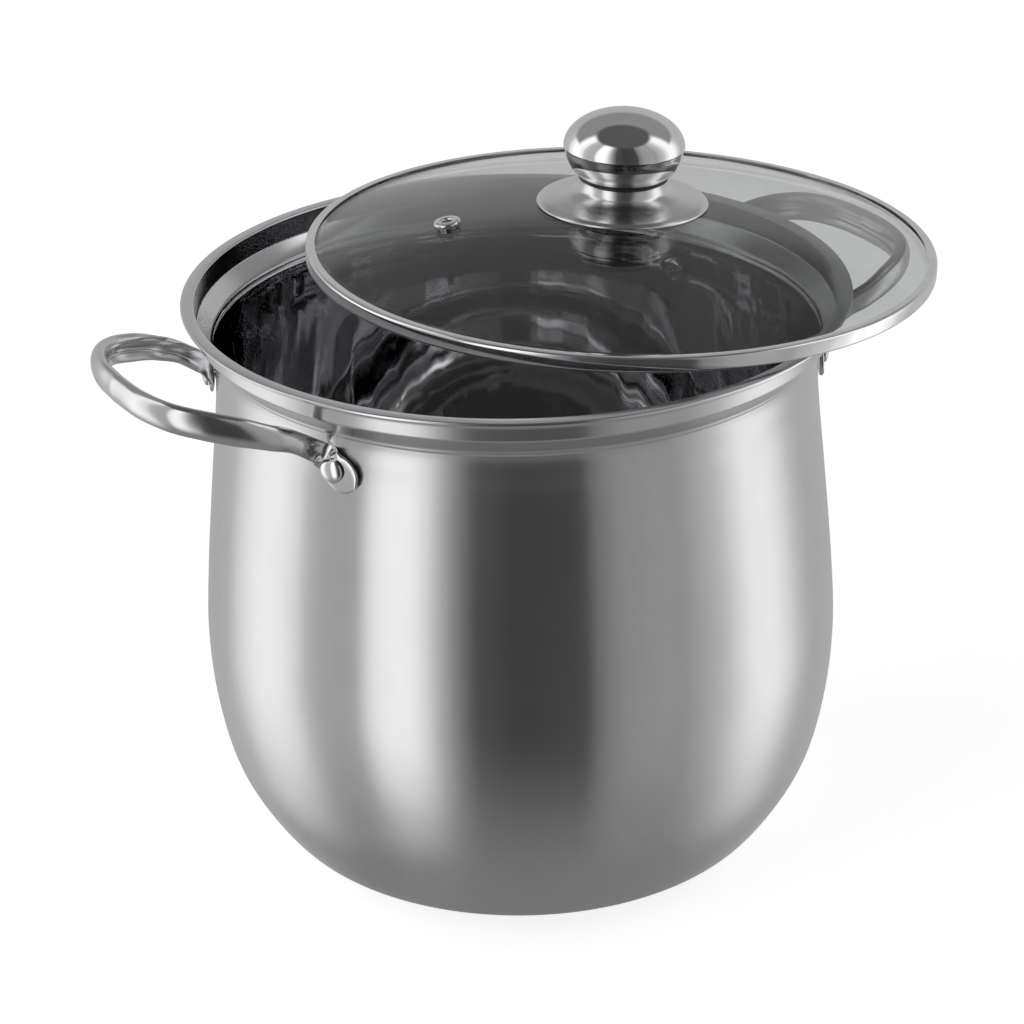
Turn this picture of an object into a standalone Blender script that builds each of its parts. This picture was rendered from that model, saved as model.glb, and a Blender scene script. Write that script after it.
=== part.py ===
"""Water bath canner: a belly-shaped stainless stock pot with an encapsulated base, two riveted loop
handles, and a domed glass lid with a steel band, a steam vent and a ball knob, resting askew on the rim.

Metres, +Z up. The origin is the centre of the base's underside. The handles stand out along X.
"""

import math

import bmesh
import bpy
from mathutils import Matrix, Vector

MM = 0.001
GAP = 0.3 * MM                      # clearance between touching pieces
TURNS = 48                          # segments of the large turned pieces
SMALL_TURNS = 16                    # segments of the small turned pieces
KNOB_TURNS = 28
RIVET_TURNS = 12

# Pot
POT_HEIGHT = 268.0 * MM
RIM_RADIUS = 150.0 * MM
SHEET = 1.0 * MM
LIP_THICKNESS = 1.8 * MM
SEAT_RADIUS = 143.8 * MM            # inside of the upright wall that the lid drops into
NECK_RADIUS = 137.4 * MM            # just under the lid's ledge
BELLY_RADIUS = 145.8 * MM
FLOOR_RADIUS = 87.0 * MM            # flat part of the bottom
BASE_THICKNESS = 5.0 * MM
BASE_RADIUS = 84.0 * MM
BASE_SHEET = 0.8 * MM

# Handles
RIVET_ANGLE = math.radians(26.3)    # each rivet's bearing from the handle's own axis
RIVET_DROP = 35.5 * MM              # below the rim
RIVET_HOLE_RADIUS = 2.8 * MM
RIVET_SHANK_RADIUS = 2.5 * MM
RIVET_HEAD_RADIUS = 5.6 * MM
WALL_AT_RIVET = 135.8 * MM          # outer radius of the pot's wall behind the ears
EAR_THICKNESS = 2.0 * MM
EAR_WIDTH = 16.4 * MM
GRIP_WIDTH = 7.8 * MM
GRIP_HEIGHT = 13.2 * MM
END_REACH = 193.7 * MM              # from the pot's axis to the middle of a handle's end
END_DROP = 5.1 * MM
RIGHT_BEND = (-2.3 * MM, 4.7 * MM)  # each loop's end: further out, and further down
LEFT_BEND = (0.0, 0.0)
EAR_LINE_RADIUS = WALL_AT_RIVET + 1.3 * MM + EAR_THICKNESS / 2

# Lid, measured up from the plane of the band's lower edge
LID_RADIUS = 143.6 * MM
BAND_HEIGHT = 7.0 * MM
BAND_SHEET = 0.7 * MM
BAND_FLANGE = 4.2 * MM              # how far the band's top laps over the glass
BAND_FOLD = 3.0 * MM                # how far its lower edge turns in under the glass
GLASS_THICKNESS = 4.0 * MM
GLASS_RADIUS = LID_RADIUS - BAND_SHEET - GAP
GLASS_RISE = 22.0 * MM
GLASS_EDGE_TOP = BAND_HEIGHT - BAND_SHEET - GAP
DOME_RADIUS = LID_RADIUS - BAND_FLANGE - 0.6 * MM    # inside it the glass rises, outside it is flat
LID_SHIFT = 57.8 * MM               # the lid's centre from the pot's axis
LID_BEARING = math.radians(4.2)     # the way it is shifted, from +X towards +Y
LID_TILT = math.radians(2.35)       # leaning down the way it is shifted
LID_SIT = 2.4 * MM                  # band's lower edge above the rim, above the two crossing points

# Knob and steam vent, on the lid
SCREW_HOLE_RADIUS = 4.0 * MM
SCREW_RADIUS = 2.5 * MM
VENT_DISTANCE = 81.0 * MM
VENT_BEARING = math.radians(163.5)
VENT_HOLE_RADIUS = 4.3 * MM
KNOB_RADIUS = 27.5 * MM
KNOB_FOOT_RADIUS = 39.0 * MM
KNOB_WAIST_RADIUS = 20.6 * MM
KNOB_WAIST_HEIGHT = 12.6 * MM       # above the foot's edge
KNOB_SEAM_HEIGHT = 26.4 * MM
KNOB_HEIGHT = 43.4 * MM

MATERIALS = {
    "satin_steel": ((0.62, 0.62, 0.63), 0.28, 1.0),
    "polished_steel": ((0.70, 0.70, 0.71), 0.12, 1.0),
    "aluminium": ((0.78, 0.79, 0.80), 0.38, 1.0),
    "tinted_glass": ((0.80, 0.84, 0.84), 0.03, 0.0),
    "black_phenolic": ((0.03, 0.03, 0.03), 0.35, 0.0),
    "silicone": ((0.55, 0.56, 0.57), 0.55, 0.0),
}


def material(name):
    """The Principled material of this name, made the first time it is asked for."""
    if name in bpy.data.materials:
        return bpy.data.materials[name]
    colour, roughness, metallic = MATERIALS[name]
    made = bpy.data.materials.new(name)
    made.use_nodes = True
    shader = made.node_tree.nodes["Principled BSDF"]
    shader.inputs["Base Color"].default_value = (*colour, 1.0)
    shader.inputs["Roughness"].default_value = roughness
    shader.inputs["Metallic"].default_value = metallic
    return made


def finish(name, bm, surface, matrix=None, parent=None):
    """Closes the bmesh into an object with a smooth surface, its material, and its place."""
    bmesh.ops.remove_doubles(bm, verts=bm.verts[:], dist=0.001 * MM)
    bmesh.ops.recalc_face_normals(bm, faces=bm.faces[:])
    mesh = bpy.data.meshes.new(name)
    bm.to_mesh(mesh)
    bm.free()
    mesh.materials.append(material(surface))
    mesh.shade_smooth()
    mesh.set_sharp_from_angle(angle=math.radians(35))
    made = bpy.data.objects.new(name, mesh)
    bpy.context.scene.collection.objects.link(made)
    made.parent = parent
    if matrix is not None:
        made.matrix_local = matrix
    return made


def arc(centre_r, centre_z, radius, start, end, steps):
    """Points of a round stretch of an outline, from one angle to another, in degrees."""
    angles = [math.radians(start + (end - start) * i / steps) for i in range(steps + 1)]
    return [(centre_r + radius * math.cos(a), centre_z + radius * math.sin(a)) for a in angles]


def curve_through(points, steps):
    """A Catmull-Rom curve through points of any dimension, with this many steps in each stretch."""
    places = [Vector(p) for p in points]
    ends = [places[0] * 2 - places[1], *places, places[-1] * 2 - places[-2]]
    line = []
    for i in range(len(places) - 1):
        before, start, end, after = ends[i:i + 4]
        for step in range(steps):
            t = step / steps
            line.append(
                start
                + (end - before) * (t / 2)
                + (before * 2 - start * 5 + end * 4 - after) * (t * t / 2)
                + (start * 3 - before - end * 3 + after) * (t ** 3 / 2)
            )
    return [*line, places[-1]]


def inset(line, distance):
    """The line moved sideways by this distance, to the left of the way it runs, on the (r, z) plane."""
    moved = []
    for i, (r, z) in enumerate(line):
        before, after = line[max(i - 1, 0)], line[min(i + 1, len(line) - 1)]
        run_r, run_z = after[0] - before[0], after[1] - before[1]
        length = math.hypot(run_r, run_z)
        moved.append((r - run_z / length * distance, z + run_r / length * distance))
    return moved


def turned(name, outline, surface, steps=TURNS, matrix=None, parent=None):
    """A solid turned about Z from a closed outline of (r, z) points."""
    bm = bmesh.new()
    ring = [bm.verts.new((max(r, 0.0), 0.0, z)) for r, z in outline]
    edges = [bm.edges.new((ring[i - 1], ring[i])) for i in range(len(ring))]
    for edge in edges[:]:
        if max(v.co.x for v in edge.verts) < 0.001 * MM:
            edges.remove(edge)
            bm.edges.remove(edge)
    bmesh.ops.spin(
        bm, geom=[*ring, *edges], cent=(0, 0, 0), axis=(0, 0, 1), dvec=(0, 0, 0),
        angle=math.tau, steps=steps, use_merge=True, use_duplicate=False,
    )
    return finish(name, bm, surface, matrix, parent)


def cutter(name, radius, length, matrix, parent=None):
    """A round cutter along its own Z, left out of the model itself."""
    made = turned(
        name, [(0, length / 2), (radius, length / 2), (radius, -length / 2), (0, -length / 2)],
        "satin_steel", SMALL_TURNS, matrix, parent,
    )
    made.hide_render = True
    made.display_type = "WIRE"
    return made


def cut(target, tools):
    for tool in tools:
        hole = target.modifiers.new(tool.name, "BOOLEAN")
        hole.operation = "DIFFERENCE"
        hole.solver = "EXACT"
        hole.object = tool


def along(point, direction, up=(0, 0, 1)):
    """The frame at a point whose Z runs along a direction."""
    z = Vector(direction).normalized()
    x = Vector(up).cross(z).normalized()
    return Matrix.Translation(point) @ Matrix((x, z.cross(x), z)).transposed().to_4x4()


def wall_line():
    """Outside of the pot, from the lip's underside down to the middle of the floor."""
    top = POT_HEIGHT
    seat_outer = SEAT_RADIUS + SHEET
    lip_cove = 3.4 * MM
    corner = 2.2 * MM
    step_z = top - 12.0 * MM
    line = arc(seat_outer + lip_cove, top - LIP_THICKNESS - lip_cove, lip_cove, 90, 180, 3)
    line += arc(seat_outer - 0.4 * MM - corner, step_z + corner, corner, 0, -50, 2)
    knuckle = 3.0 * MM
    line += arc(NECK_RADIUS + knuckle, step_z - 7.5 * MM, knuckle, 130, 180, 2)
    belly = [
        (NECK_RADIUS - 0.9 * MM, top - 20.5 * MM),
        (WALL_AT_RIVET + 0.2 * MM, top - 24.5 * MM),
        (WALL_AT_RIVET + 0.15 * MM, top - 31 * MM),
        (WALL_AT_RIVET + 0.25 * MM, top - 41 * MM),
        (WALL_AT_RIVET + 1.6 * MM, top - 58 * MM),
        (WALL_AT_RIVET + 4.6 * MM, top - 88 * MM),
        (BELLY_RADIUS - 1.6 * MM, top - 130 * MM),
        (BELLY_RADIUS, top - 164 * MM),
        (BELLY_RADIUS - 3.0 * MM, top - 197 * MM),
        (BELLY_RADIUS - 10.6 * MM, top - 226 * MM),
        (BELLY_RADIUS - 26.3 * MM, top - 252.5 * MM),
        (FLOOR_RADIUS + 20.0 * MM, BASE_THICKNESS + 1.8 * MM),
        (FLOOR_RADIUS, BASE_THICKNESS),
    ]
    return [*line, *(tuple(p) for p in curve_through(belly, 2)), (0.0, BASE_THICKNESS)]


def pot_body():
    outside = wall_line()
    inside = inset(outside, -SHEET)[1:]
    inside[-1] = (0.0, BASE_THICKNESS + SHEET)
    edge = LIP_THICKNESS / 2
    fillet = 0.8 * MM
    lip = arc(SEAT_RADIUS + fillet, POT_HEIGHT - fillet, fillet, 180, 90, 2)
    lip += arc(RIM_RADIUS - edge, POT_HEIGHT - edge, edge, 90, -90, 4)
    pot = turned("pot_body", [*outside, *inside[3:][::-1], *lip], "satin_steel")
    cut(pot, rivet_hole_cutters())
    return pot


def base():
    """An aluminium core disc, closed in by a pressed steel cap under the floor."""
    core_radius = BASE_RADIUS - BASE_SHEET - GAP
    bottom = BASE_SHEET + GAP
    top = BASE_THICKNESS - GAP
    turned(
        "base_core_disc", [(0, top), (core_radius, top), (core_radius, bottom), (0, bottom)], "aluminium"
    )
    corner = 1.6 * MM
    outer = [(BASE_RADIUS - BASE_SHEET, top), (BASE_RADIUS, top)]
    outer += arc(BASE_RADIUS - corner, corner, corner, 0, -90, 2)
    turned("base_cap", [*outer, (0, 0), (0, BASE_SHEET), (BASE_RADIUS - BASE_SHEET, BASE_SHEET)], "satin_steel")


def rivets():
    """Bearing of each rivet, by name: front is -Y and left is -X."""
    return {
        "right_front_rivet": -RIVET_ANGLE,
        "right_back_rivet": RIVET_ANGLE,
        "left_back_rivet": math.pi - RIVET_ANGLE,
        "left_front_rivet": math.pi + RIVET_ANGLE,
    }


def rivet_frame(bearing):
    """At the pot's axis, level with the rivets, with Z pointing out through one of them."""
    return along((0, 0, POT_HEIGHT - RIVET_DROP), (math.cos(bearing), math.sin(bearing), 0))


def rivet_hole_cutters():
    length = 40 * MM
    cutters = []
    for name, bearing in rivets().items():
        matrix = rivet_frame(bearing) @ Matrix.Translation((0, 0, WALL_AT_RIVET))
        cutters.append(cutter("cut_" + name, RIVET_HOLE_RADIUS, length, matrix))
    return cutters


def rivet_pieces():
    """Each rivet: a low inner head, a shank through the wall and the ear, and a domed outer head."""
    inner_face = WALL_AT_RIVET - SHEET - GAP
    outer_face = EAR_LINE_RADIUS + EAR_THICKNESS / 2 + GAP
    inner_dome, outer_dome = 1.3 * MM, 2.2 * MM
    edge = 0.5 * MM
    quarter = [math.radians(90 * i / 3) for i in range(4)]
    outer = [
        (RIVET_HEAD_RADIUS * math.cos(a), outer_face + edge + outer_dome * math.sin(a)) for a in quarter
    ]
    inner = [
        (RIVET_HEAD_RADIUS * math.cos(a), inner_face - edge - inner_dome * math.sin(a)) for a in quarter
    ]
    outline = [*outer[::-1], (RIVET_HEAD_RADIUS, outer_face), (RIVET_SHANK_RADIUS, outer_face)]
    outline += [(RIVET_SHANK_RADIUS, inner_face), (RIVET_HEAD_RADIUS, inner_face), *inner]
    for name, bearing in rivets().items():
        turned(name, outline, "polished_steel", RIVET_TURNS, rivet_frame(bearing))


def on_wall(angle, radius, drop):
    return (radius * math.cos(angle), radius * math.sin(angle), POT_HEIGHT - drop)


def handle_line(reach, sag):
    """Middle of one handle: up the ear on the wall, out along the arm, round the end, and back.

    reach is how far its end stands past END_REACH, and sag how far the end hangs below END_DROP."""
    half = [
        on_wall(RIVET_ANGLE + math.radians(4.4), EAR_LINE_RADIUS, RIVET_DROP + 6.6 * MM),
        on_wall(RIVET_ANGLE + math.radians(0.2), EAR_LINE_RADIUS, RIVET_DROP - 0.5 * MM),
        on_wall(RIVET_ANGLE - math.radians(2.0), EAR_LINE_RADIUS, RIVET_DROP - 5.2 * MM),
        on_wall(RIVET_ANGLE - math.radians(3.1), EAR_LINE_RADIUS + 4.0 * MM, RIVET_DROP - 8.8 * MM),
        (141.2 * MM, 57.2 * MM, POT_HEIGHT - 20.0 * MM),
        (152.8 * MM + reach * 0.2, 57.0 * MM, POT_HEIGHT - 15.4 * MM - sag * 0.2),
        (164.8 * MM + reach * 0.4, 53.3 * MM, POT_HEIGHT - 11.4 * MM - sag * 0.4),
        (176.6 * MM + reach * 0.6, 47.2 * MM, POT_HEIGHT - 8.2 * MM - sag * 0.6),
        (186.4 * MM + reach * 0.8, 36.6 * MM, POT_HEIGHT - 6.3 * MM - sag * 0.8),
        (192.2 * MM + reach * 0.95, 19.4 * MM, POT_HEIGHT - 5.4 * MM - sag * 0.95),
        (END_REACH + reach, 0.0, POT_HEIGHT - END_DROP - sag),
    ]
    line = curve_through(half, 3)
    return line + [Vector((p.x, -p.y, p.z)) for p in line[-2::-1]]


def handle_section(distance):
    """Half thickness and half width of the handle, this far along it from the ear's end."""
    ear, wide_ear = EAR_THICKNESS / 2, EAR_WIDTH / 2
    stations = [
        (0, ear, wide_ear * 0.36), (2 * MM, ear, wide_ear * 0.76), (6 * MM, ear, wide_ear),
        (16 * MM, ear, wide_ear * 0.94), (23.5 * MM, 1.3 * MM, 5.0 * MM), (34 * MM, 2.6 * MM, 4.8 * MM),
        (47 * MM, 3.3 * MM, 5.6 * MM),
        (65 * MM, GRIP_WIDTH / 2, GRIP_HEIGHT / 2),
    ]
    if distance >= stations[-1][0]:
        return GRIP_WIDTH / 2, GRIP_HEIGHT / 2
    for (start, thick, wide), (end, next_thick, next_wide) in zip(stations, stations[1:]):
        if distance <= end:
            t = (distance - start) / (end - start)
            return thick + (next_thick - thick) * t, wide + (next_wide - wide) * t


def handle(name, turn, reach, sag):
    """A pressed steel loop: flat ears, opening into a tall oval grip."""
    line = handle_line(reach, sag)
    sides, corner = 12, 2.6
    travelled = [0.0]
    for before, after in zip(line, line[1:]):
        travelled.append(travelled[-1] + (after - before).length)
    bm = bmesh.new()
    rings = []
    for i, point in enumerate(line):
        run = (line[min(i + 1, len(line) - 1)] - line[max(i - 1, 0)]).normalized()
        out = Vector((-run.y, run.x, 0)).normalized()
        across = run.cross(out)
        thick, wide = handle_section(min(travelled[i], travelled[-1] - travelled[i]))
        ring = []
        for j in range(sides):
            a = math.tau * (j + 0.5) / sides
            bulge = 2 / (corner if thick < wide * 0.8 else 2)
            x = math.copysign(abs(math.cos(a)) ** bulge, math.cos(a)) * thick
            y = math.copysign(abs(math.sin(a)) ** bulge, math.sin(a)) * wide
            ring.append(bm.verts.new(point + out * x + across * y))
        rings.append(ring)
    for here, there in zip(rings, rings[1:]):
        for j in range(sides):
            bm.faces.new((here[j - 1], here[j], there[j], there[j - 1]))
    bm.faces.new(rings[0][::-1])
    bm.faces.new(rings[-1])
    made = finish(name, bm, "polished_steel", Matrix.Rotation(turn, 4, "Z"))
    cut(made, [bpy.data.objects["cut_" + rivet] for rivet in rivets() if rivet.startswith(name[7:])])
    return made


def lid_frame():
    """An empty at the middle of the band's lower edge, at the lid's resting place and tilt."""
    reach = RIM_RADIUS - LIP_THICKNESS
    crossing = (LID_SHIFT ** 2 + reach ** 2 - LID_RADIUS ** 2) / (2 * LID_SHIFT)
    height = POT_HEIGHT + LID_SIT - math.tan(LID_TILT) * (LID_SHIFT - crossing)
    way = Vector((math.cos(LID_BEARING), math.sin(LID_BEARING), 0))
    hinge_line = Vector((-way.y, way.x, 0))
    frame = bpy.data.objects.new("lid_frame", None)
    frame.empty_display_size = 0.05
    bpy.context.scene.collection.objects.link(frame)
    frame.matrix_world = Matrix.Translation(way * LID_SHIFT + Vector((0, 0, height))) @ Matrix.Rotation(
        LID_TILT, 4, hinge_line
    )
    return frame


def glass_height(radius):
    """Top of the glass at this distance from the lid's middle."""
    ball = (DOME_RADIUS ** 2 + GLASS_RISE ** 2) / (2 * GLASS_RISE)
    return GLASS_EDGE_TOP + GLASS_RISE - (ball - math.sqrt(ball ** 2 - radius ** 2))


def vent_frame():
    """On top of the glass at the vent, with Z square to the glass there."""
    step = 1.0 * MM
    slope = (glass_height(VENT_DISTANCE + step) - glass_height(VENT_DISTANCE - step)) / (2 * step)
    way = Vector((math.cos(VENT_BEARING), math.sin(VENT_BEARING), 0))
    point = way * VENT_DISTANCE + Vector((0, 0, glass_height(VENT_DISTANCE)))
    return along(point, Vector((0, 0, 1)) - way * slope, up=way)


def lid_glass(frame):
    rings = [SCREW_HOLE_RADIUS + (DOME_RADIUS - SCREW_HOLE_RADIUS) * i / 6 for i in range(7)]
    top = [(r, glass_height(r)) for r in rings]
    flat = [(GLASS_RADIUS - 0.6 * MM, GLASS_EDGE_TOP), (GLASS_RADIUS, GLASS_EDGE_TOP - 0.6 * MM)]
    below = GLASS_EDGE_TOP - GLASS_THICKNESS
    flat += [(GLASS_RADIUS, below + 0.6 * MM), (GLASS_RADIUS - 0.6 * MM, below)]
    under = [(r, z - GLASS_THICKNESS) for r, z in top[::-1]]
    glass = turned("lid_glass", [*top, *flat, *under], "tinted_glass", TURNS, None, frame)
    cut(glass, [cutter("cut_vent", VENT_HOLE_RADIUS, 30 * MM, vent_frame(), frame)])


def lid_band(frame):
    """A steel strip rolled round the edge of the glass: a flange on top and a fold underneath."""
    corner, thin = 1.4 * MM, BAND_SHEET
    inner_corner = corner - thin
    outer = [(LID_RADIUS - BAND_FLANGE, BAND_HEIGHT)]
    outer += arc(LID_RADIUS - corner, BAND_HEIGHT - corner, corner, 90, 0, 2)
    outer += arc(LID_RADIUS - corner, corner, corner, 0, -90, 2)
    outer += [(LID_RADIUS - BAND_FOLD, 0), (LID_RADIUS - BAND_FOLD, thin)]
    inner = arc(LID_RADIUS - corner, corner, inner_corner, -90, 0, 1)
    inner += arc(LID_RADIUS - corner, BAND_HEIGHT - corner, inner_corner, 0, 90, 1)
    inner += [(LID_RADIUS - BAND_FLANGE, BAND_HEIGHT - thin)]
    turned("lid_band", [*outer, *inner], "polished_steel", TURNS, None, frame)


def vent(frame):
    """A flanged eyelet pressed through the glass, over a silicone washer, with a collar below."""
    place = vent_frame()
    flange, bore, tube = 6.2 * MM, 2.4 * MM, VENT_HOLE_RADIUS - GAP
    lift = 1.2 * MM
    foot = -GLASS_THICKNESS - 4.0 * MM
    top = [(bore, lift + 0.2 * MM), (bore + 0.8 * MM, lift + 1.0 * MM), (flange - 1.2 * MM, lift + 1.0 * MM)]
    side = [(flange, lift + 0.3 * MM), (flange, lift), (tube, lift), (tube, foot), (bore, foot)]
    turned("vent_eyelet", [*top, *side], "polished_steel", SMALL_TURNS, place, frame)
    rubber = [(tube + GAP, lift - GAP), (flange - 0.5 * MM, lift - GAP), (flange - 0.5 * MM, GAP), (tube + GAP, GAP)]
    turned("vent_gasket", rubber, "silicone", SMALL_TURNS, place, frame)
    high, low = -GLASS_THICKNESS - GAP, -GLASS_THICKNESS - 1.6 * MM
    collar = [(tube + GAP, high), (flange, high), (flange, low), (tube + GAP, low)]
    turned("vent_collar", collar, "polished_steel", SMALL_TURNS, place, frame)


def knob(frame):
    """Ball knob: a flared foot, a black spacer ring, a bowl and a dome on a threaded core, and its screw."""
    foot = glass_height(KNOB_FOOT_RADIUS) + GAP
    place = Matrix.Translation((0, 0, foot))
    sheet = 0.9 * MM
    neck = KNOB_WAIST_RADIUS - 1.6 * MM
    flare = [
        (neck, KNOB_WAIST_HEIGHT - 1.2 * MM), (neck + 0.2 * MM, 9.4 * MM), (neck + 1.7 * MM, 6.6 * MM),
        (neck + 5.6 * MM, 4.6 * MM), (neck + 12.0 * MM, 3.4 * MM), (KNOB_FOOT_RADIUS - 2.8 * MM, 2.4 * MM),
        (KNOB_FOOT_RADIUS - 0.7 * MM, 1.3 * MM), (KNOB_FOOT_RADIUS, 0.5 * MM),
    ]
    shelf = SCREW_HOLE_RADIUS
    top_z = KNOB_WAIST_HEIGHT - 1.2 * MM
    under = inset(flare, -sheet)[:-1]
    under[0] = (neck - sheet, top_z - sheet)
    outline = [(shelf, top_z), *flare, (KNOB_FOOT_RADIUS - 0.8 * MM, 0.1 * MM), *under[::-1], (shelf, top_z - sheet)]
    turned("knob_foot", outline, "polished_steel", KNOB_TURNS, place, frame)

    ring_low, ring_high = top_z + GAP, KNOB_WAIST_HEIGHT + 0.6 * MM
    ring = [
        (shelf, ring_high), (KNOB_WAIST_RADIUS - 0.3 * MM, ring_high),
        (KNOB_WAIST_RADIUS - 0.3 * MM, ring_low), (shelf, ring_low),
    ]
    turned("knob_spacer_ring", ring, "black_phenolic", KNOB_TURNS, place, frame)

    seam = KNOB_SEAM_HEIGHT
    bowl_floor = ring_high + GAP
    bowl = [
        (KNOB_RADIUS - 0.4 * MM, seam - GAP), (KNOB_RADIUS - 1.3 * MM, seam - 4.4 * MM),
        (KNOB_RADIUS - 3.7 * MM, seam - 9.4 * MM), (KNOB_WAIST_RADIUS, bowl_floor),
    ]
    bowl = [tuple(p) for p in curve_through(bowl, 2)]
    within = inset(bowl, -sheet)
    within[0] = (bowl[0][0] - sheet, bowl[0][1])
    within[-1] = (bowl[-1][0] - sheet, bowl_floor + sheet)
    outline = [*bowl, (shelf, bowl_floor), (shelf, bowl_floor + sheet), *within[::-1]]
    turned("knob_bowl", outline, "polished_steel", KNOB_TURNS, place, frame)

    widest = seam + 0.3 * MM
    rise = KNOB_HEIGHT - widest
    angles = [math.radians(90 - 90 * i / 6) for i in range(7)]
    dome = [(KNOB_RADIUS * math.cos(a), widest + rise * math.sin(a)) for a in angles]
    hollow = [((KNOB_RADIUS - sheet) * math.cos(a), widest + (rise - sheet) * math.sin(a)) for a in angles]
    outline = [*dome, (KNOB_RADIUS - 0.3 * MM, seam), (KNOB_RADIUS - 0.3 * MM - sheet, seam), *hollow[::-1]]
    turned("knob_dome", outline, "polished_steel", KNOB_TURNS, place, frame)

    core_low, core_high = bowl_floor + sheet + GAP, KNOB_HEIGHT - sheet - 3.0 * MM
    thread, core = SCREW_RADIUS + GAP, 12.0 * MM
    outline = [
        (thread, core_high), (core - 3.0 * MM, core_high), (core, core_high - 4.0 * MM), (core, core_low),
        (thread, core_low),
    ]
    turned("knob_core", outline, "black_phenolic", SMALL_TURNS, place, frame)
    knob_fixings(frame, foot + core_high - 6.0 * MM)


def knob_fixings(frame, screw_top):
    """Under and over the glass: washers of silicone and steel, and the screw up into the knob's core."""
    glass_top = glass_height(0)
    top = glass_top + GAP
    ferrule_high = top + 1.4 * MM
    inner = SCREW_RADIUS + GAP
    ring = [(inner, ferrule_high), (11.0 * MM, ferrule_high), (11.0 * MM, top), (inner, top)]
    turned("glass_gasket", ring, "silicone", SMALL_TURNS, None, frame)
    below = glass_top - GLASS_THICKNESS - GAP
    layers = [
        ("glass_washer", 9.0 * MM, 1.2 * MM, "silicone"),
        ("screw_washer", 8.0 * MM, 1.0 * MM, "polished_steel"),
        ("lock_washer", 4.6 * MM, 1.2 * MM, "polished_steel"),
    ]
    for name, radius, thickness, surface in layers:
        low = below - thickness
        turned(
            name, [(inner, below), (radius, below), (radius, low), (inner, low)], surface, SMALL_TURNS,
            None, frame,
        )
        below = low - GAP
    head, depth = 4.8 * MM, 2.8 * MM
    outline = [(0, screw_top), (SCREW_RADIUS - 0.6 * MM, screw_top), (SCREW_RADIUS, screw_top - 0.8 * MM)]
    outline += [(SCREW_RADIUS, below), (head, below), (head, below - depth + 1.2 * MM)]
    outline += [(head - 1.0 * MM, below - depth + 0.3 * MM), (head - 2.6 * MM, below - depth), (0, below - depth)]
    turned("knob_screw", outline, "polished_steel", SMALL_TURNS, None, frame)


def main():
    for old in list(bpy.data.objects):
        bpy.data.objects.remove(old, do_unlink=True)
    pot_body()
    base()
    rivet_pieces()
    handle("handle_right", 0.0, *RIGHT_BEND)
    handle("handle_left", math.pi, *LEFT_BEND)
    frame = lid_frame()
    lid_glass(frame)
    lid_band(frame)
    vent(frame)
    knob(frame)


main()
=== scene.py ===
"""Looks of the water bath canner: fine surfaces, materials, floor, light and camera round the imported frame."""

import math

import bmesh
import bpy
import numpy as np
from mathutils import Matrix, Vector

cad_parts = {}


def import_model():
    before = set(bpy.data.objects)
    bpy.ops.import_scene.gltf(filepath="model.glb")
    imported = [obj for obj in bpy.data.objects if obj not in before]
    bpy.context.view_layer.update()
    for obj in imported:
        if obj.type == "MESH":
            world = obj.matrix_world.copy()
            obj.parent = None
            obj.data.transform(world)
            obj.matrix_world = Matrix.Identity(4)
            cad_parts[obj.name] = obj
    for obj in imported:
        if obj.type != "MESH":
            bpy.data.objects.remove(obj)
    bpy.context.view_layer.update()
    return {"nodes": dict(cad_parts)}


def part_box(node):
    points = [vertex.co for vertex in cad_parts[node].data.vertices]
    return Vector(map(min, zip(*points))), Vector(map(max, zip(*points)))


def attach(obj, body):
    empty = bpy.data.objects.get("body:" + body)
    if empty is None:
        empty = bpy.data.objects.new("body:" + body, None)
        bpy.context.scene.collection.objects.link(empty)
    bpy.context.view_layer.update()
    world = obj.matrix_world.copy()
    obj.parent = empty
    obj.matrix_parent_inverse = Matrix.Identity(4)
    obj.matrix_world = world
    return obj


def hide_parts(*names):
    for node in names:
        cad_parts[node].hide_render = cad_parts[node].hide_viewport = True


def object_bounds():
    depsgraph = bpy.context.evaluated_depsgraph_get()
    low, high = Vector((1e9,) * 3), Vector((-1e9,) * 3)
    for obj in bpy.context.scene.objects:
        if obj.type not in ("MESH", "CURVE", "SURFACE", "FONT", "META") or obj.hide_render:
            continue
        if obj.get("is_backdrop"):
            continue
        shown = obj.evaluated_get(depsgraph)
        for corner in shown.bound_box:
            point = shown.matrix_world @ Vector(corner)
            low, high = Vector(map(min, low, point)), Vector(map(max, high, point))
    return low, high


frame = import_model()

MM = 0.001
ROUND = 192                         # segments of a large turned surface
KNOB_ROUND = 128
SMALL_ROUND = 64

# The camera's view, as angles and as multiples of the rim's radius
VIEW_AZIMUTH = math.radians(-29.4)
VIEW_RISE = math.radians(21.6)      # the camera above the rim's centre
VIEW_PITCH = math.radians(25.43)
VIEW_ROLL = math.radians(-0.92)
VIEW_DISTANCE = 10.0
VIEW_LENS = 117.4                   # mm, on a 36 mm sensor
VIEW_SHIFT = -0.007

# Shared sizes of the pot and the handles
SHEET = 1.0 * MM
LIP_THICKNESS = 1.8 * MM
SEAT_RADIUS = 143.8 * MM
NECK_RADIUS = 137.4 * MM
BELLY_RADIUS = 145.8 * MM
FLOOR_RADIUS = 87.0 * MM
WALL_AT_RIVET = 135.8 * MM
RIVET_ANGLE = math.radians(26.3)
EAR_THICKNESS = 2.0 * MM
EAR_WIDTH = 16.4 * MM
GRIP_WIDTH = 7.8 * MM
GRIP_HEIGHT = 13.2 * MM
END_REACH = 193.7 * MM
END_DROP = 5.1 * MM
RIGHT_BEND = (-2.3 * MM, 4.7 * MM)  # each loop's end: further out, and further down
LEFT_BEND = (0.0, 0.0)
GAP = 0.3 * MM

# Shared sizes of the lid
BAND_SHEET = 0.7 * MM
BAND_FLANGE = 4.2 * MM
BAND_FOLD = 3.0 * MM
GLASS_THICKNESS = 4.0 * MM
GLASS_RISE = 22.0 * MM

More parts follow.
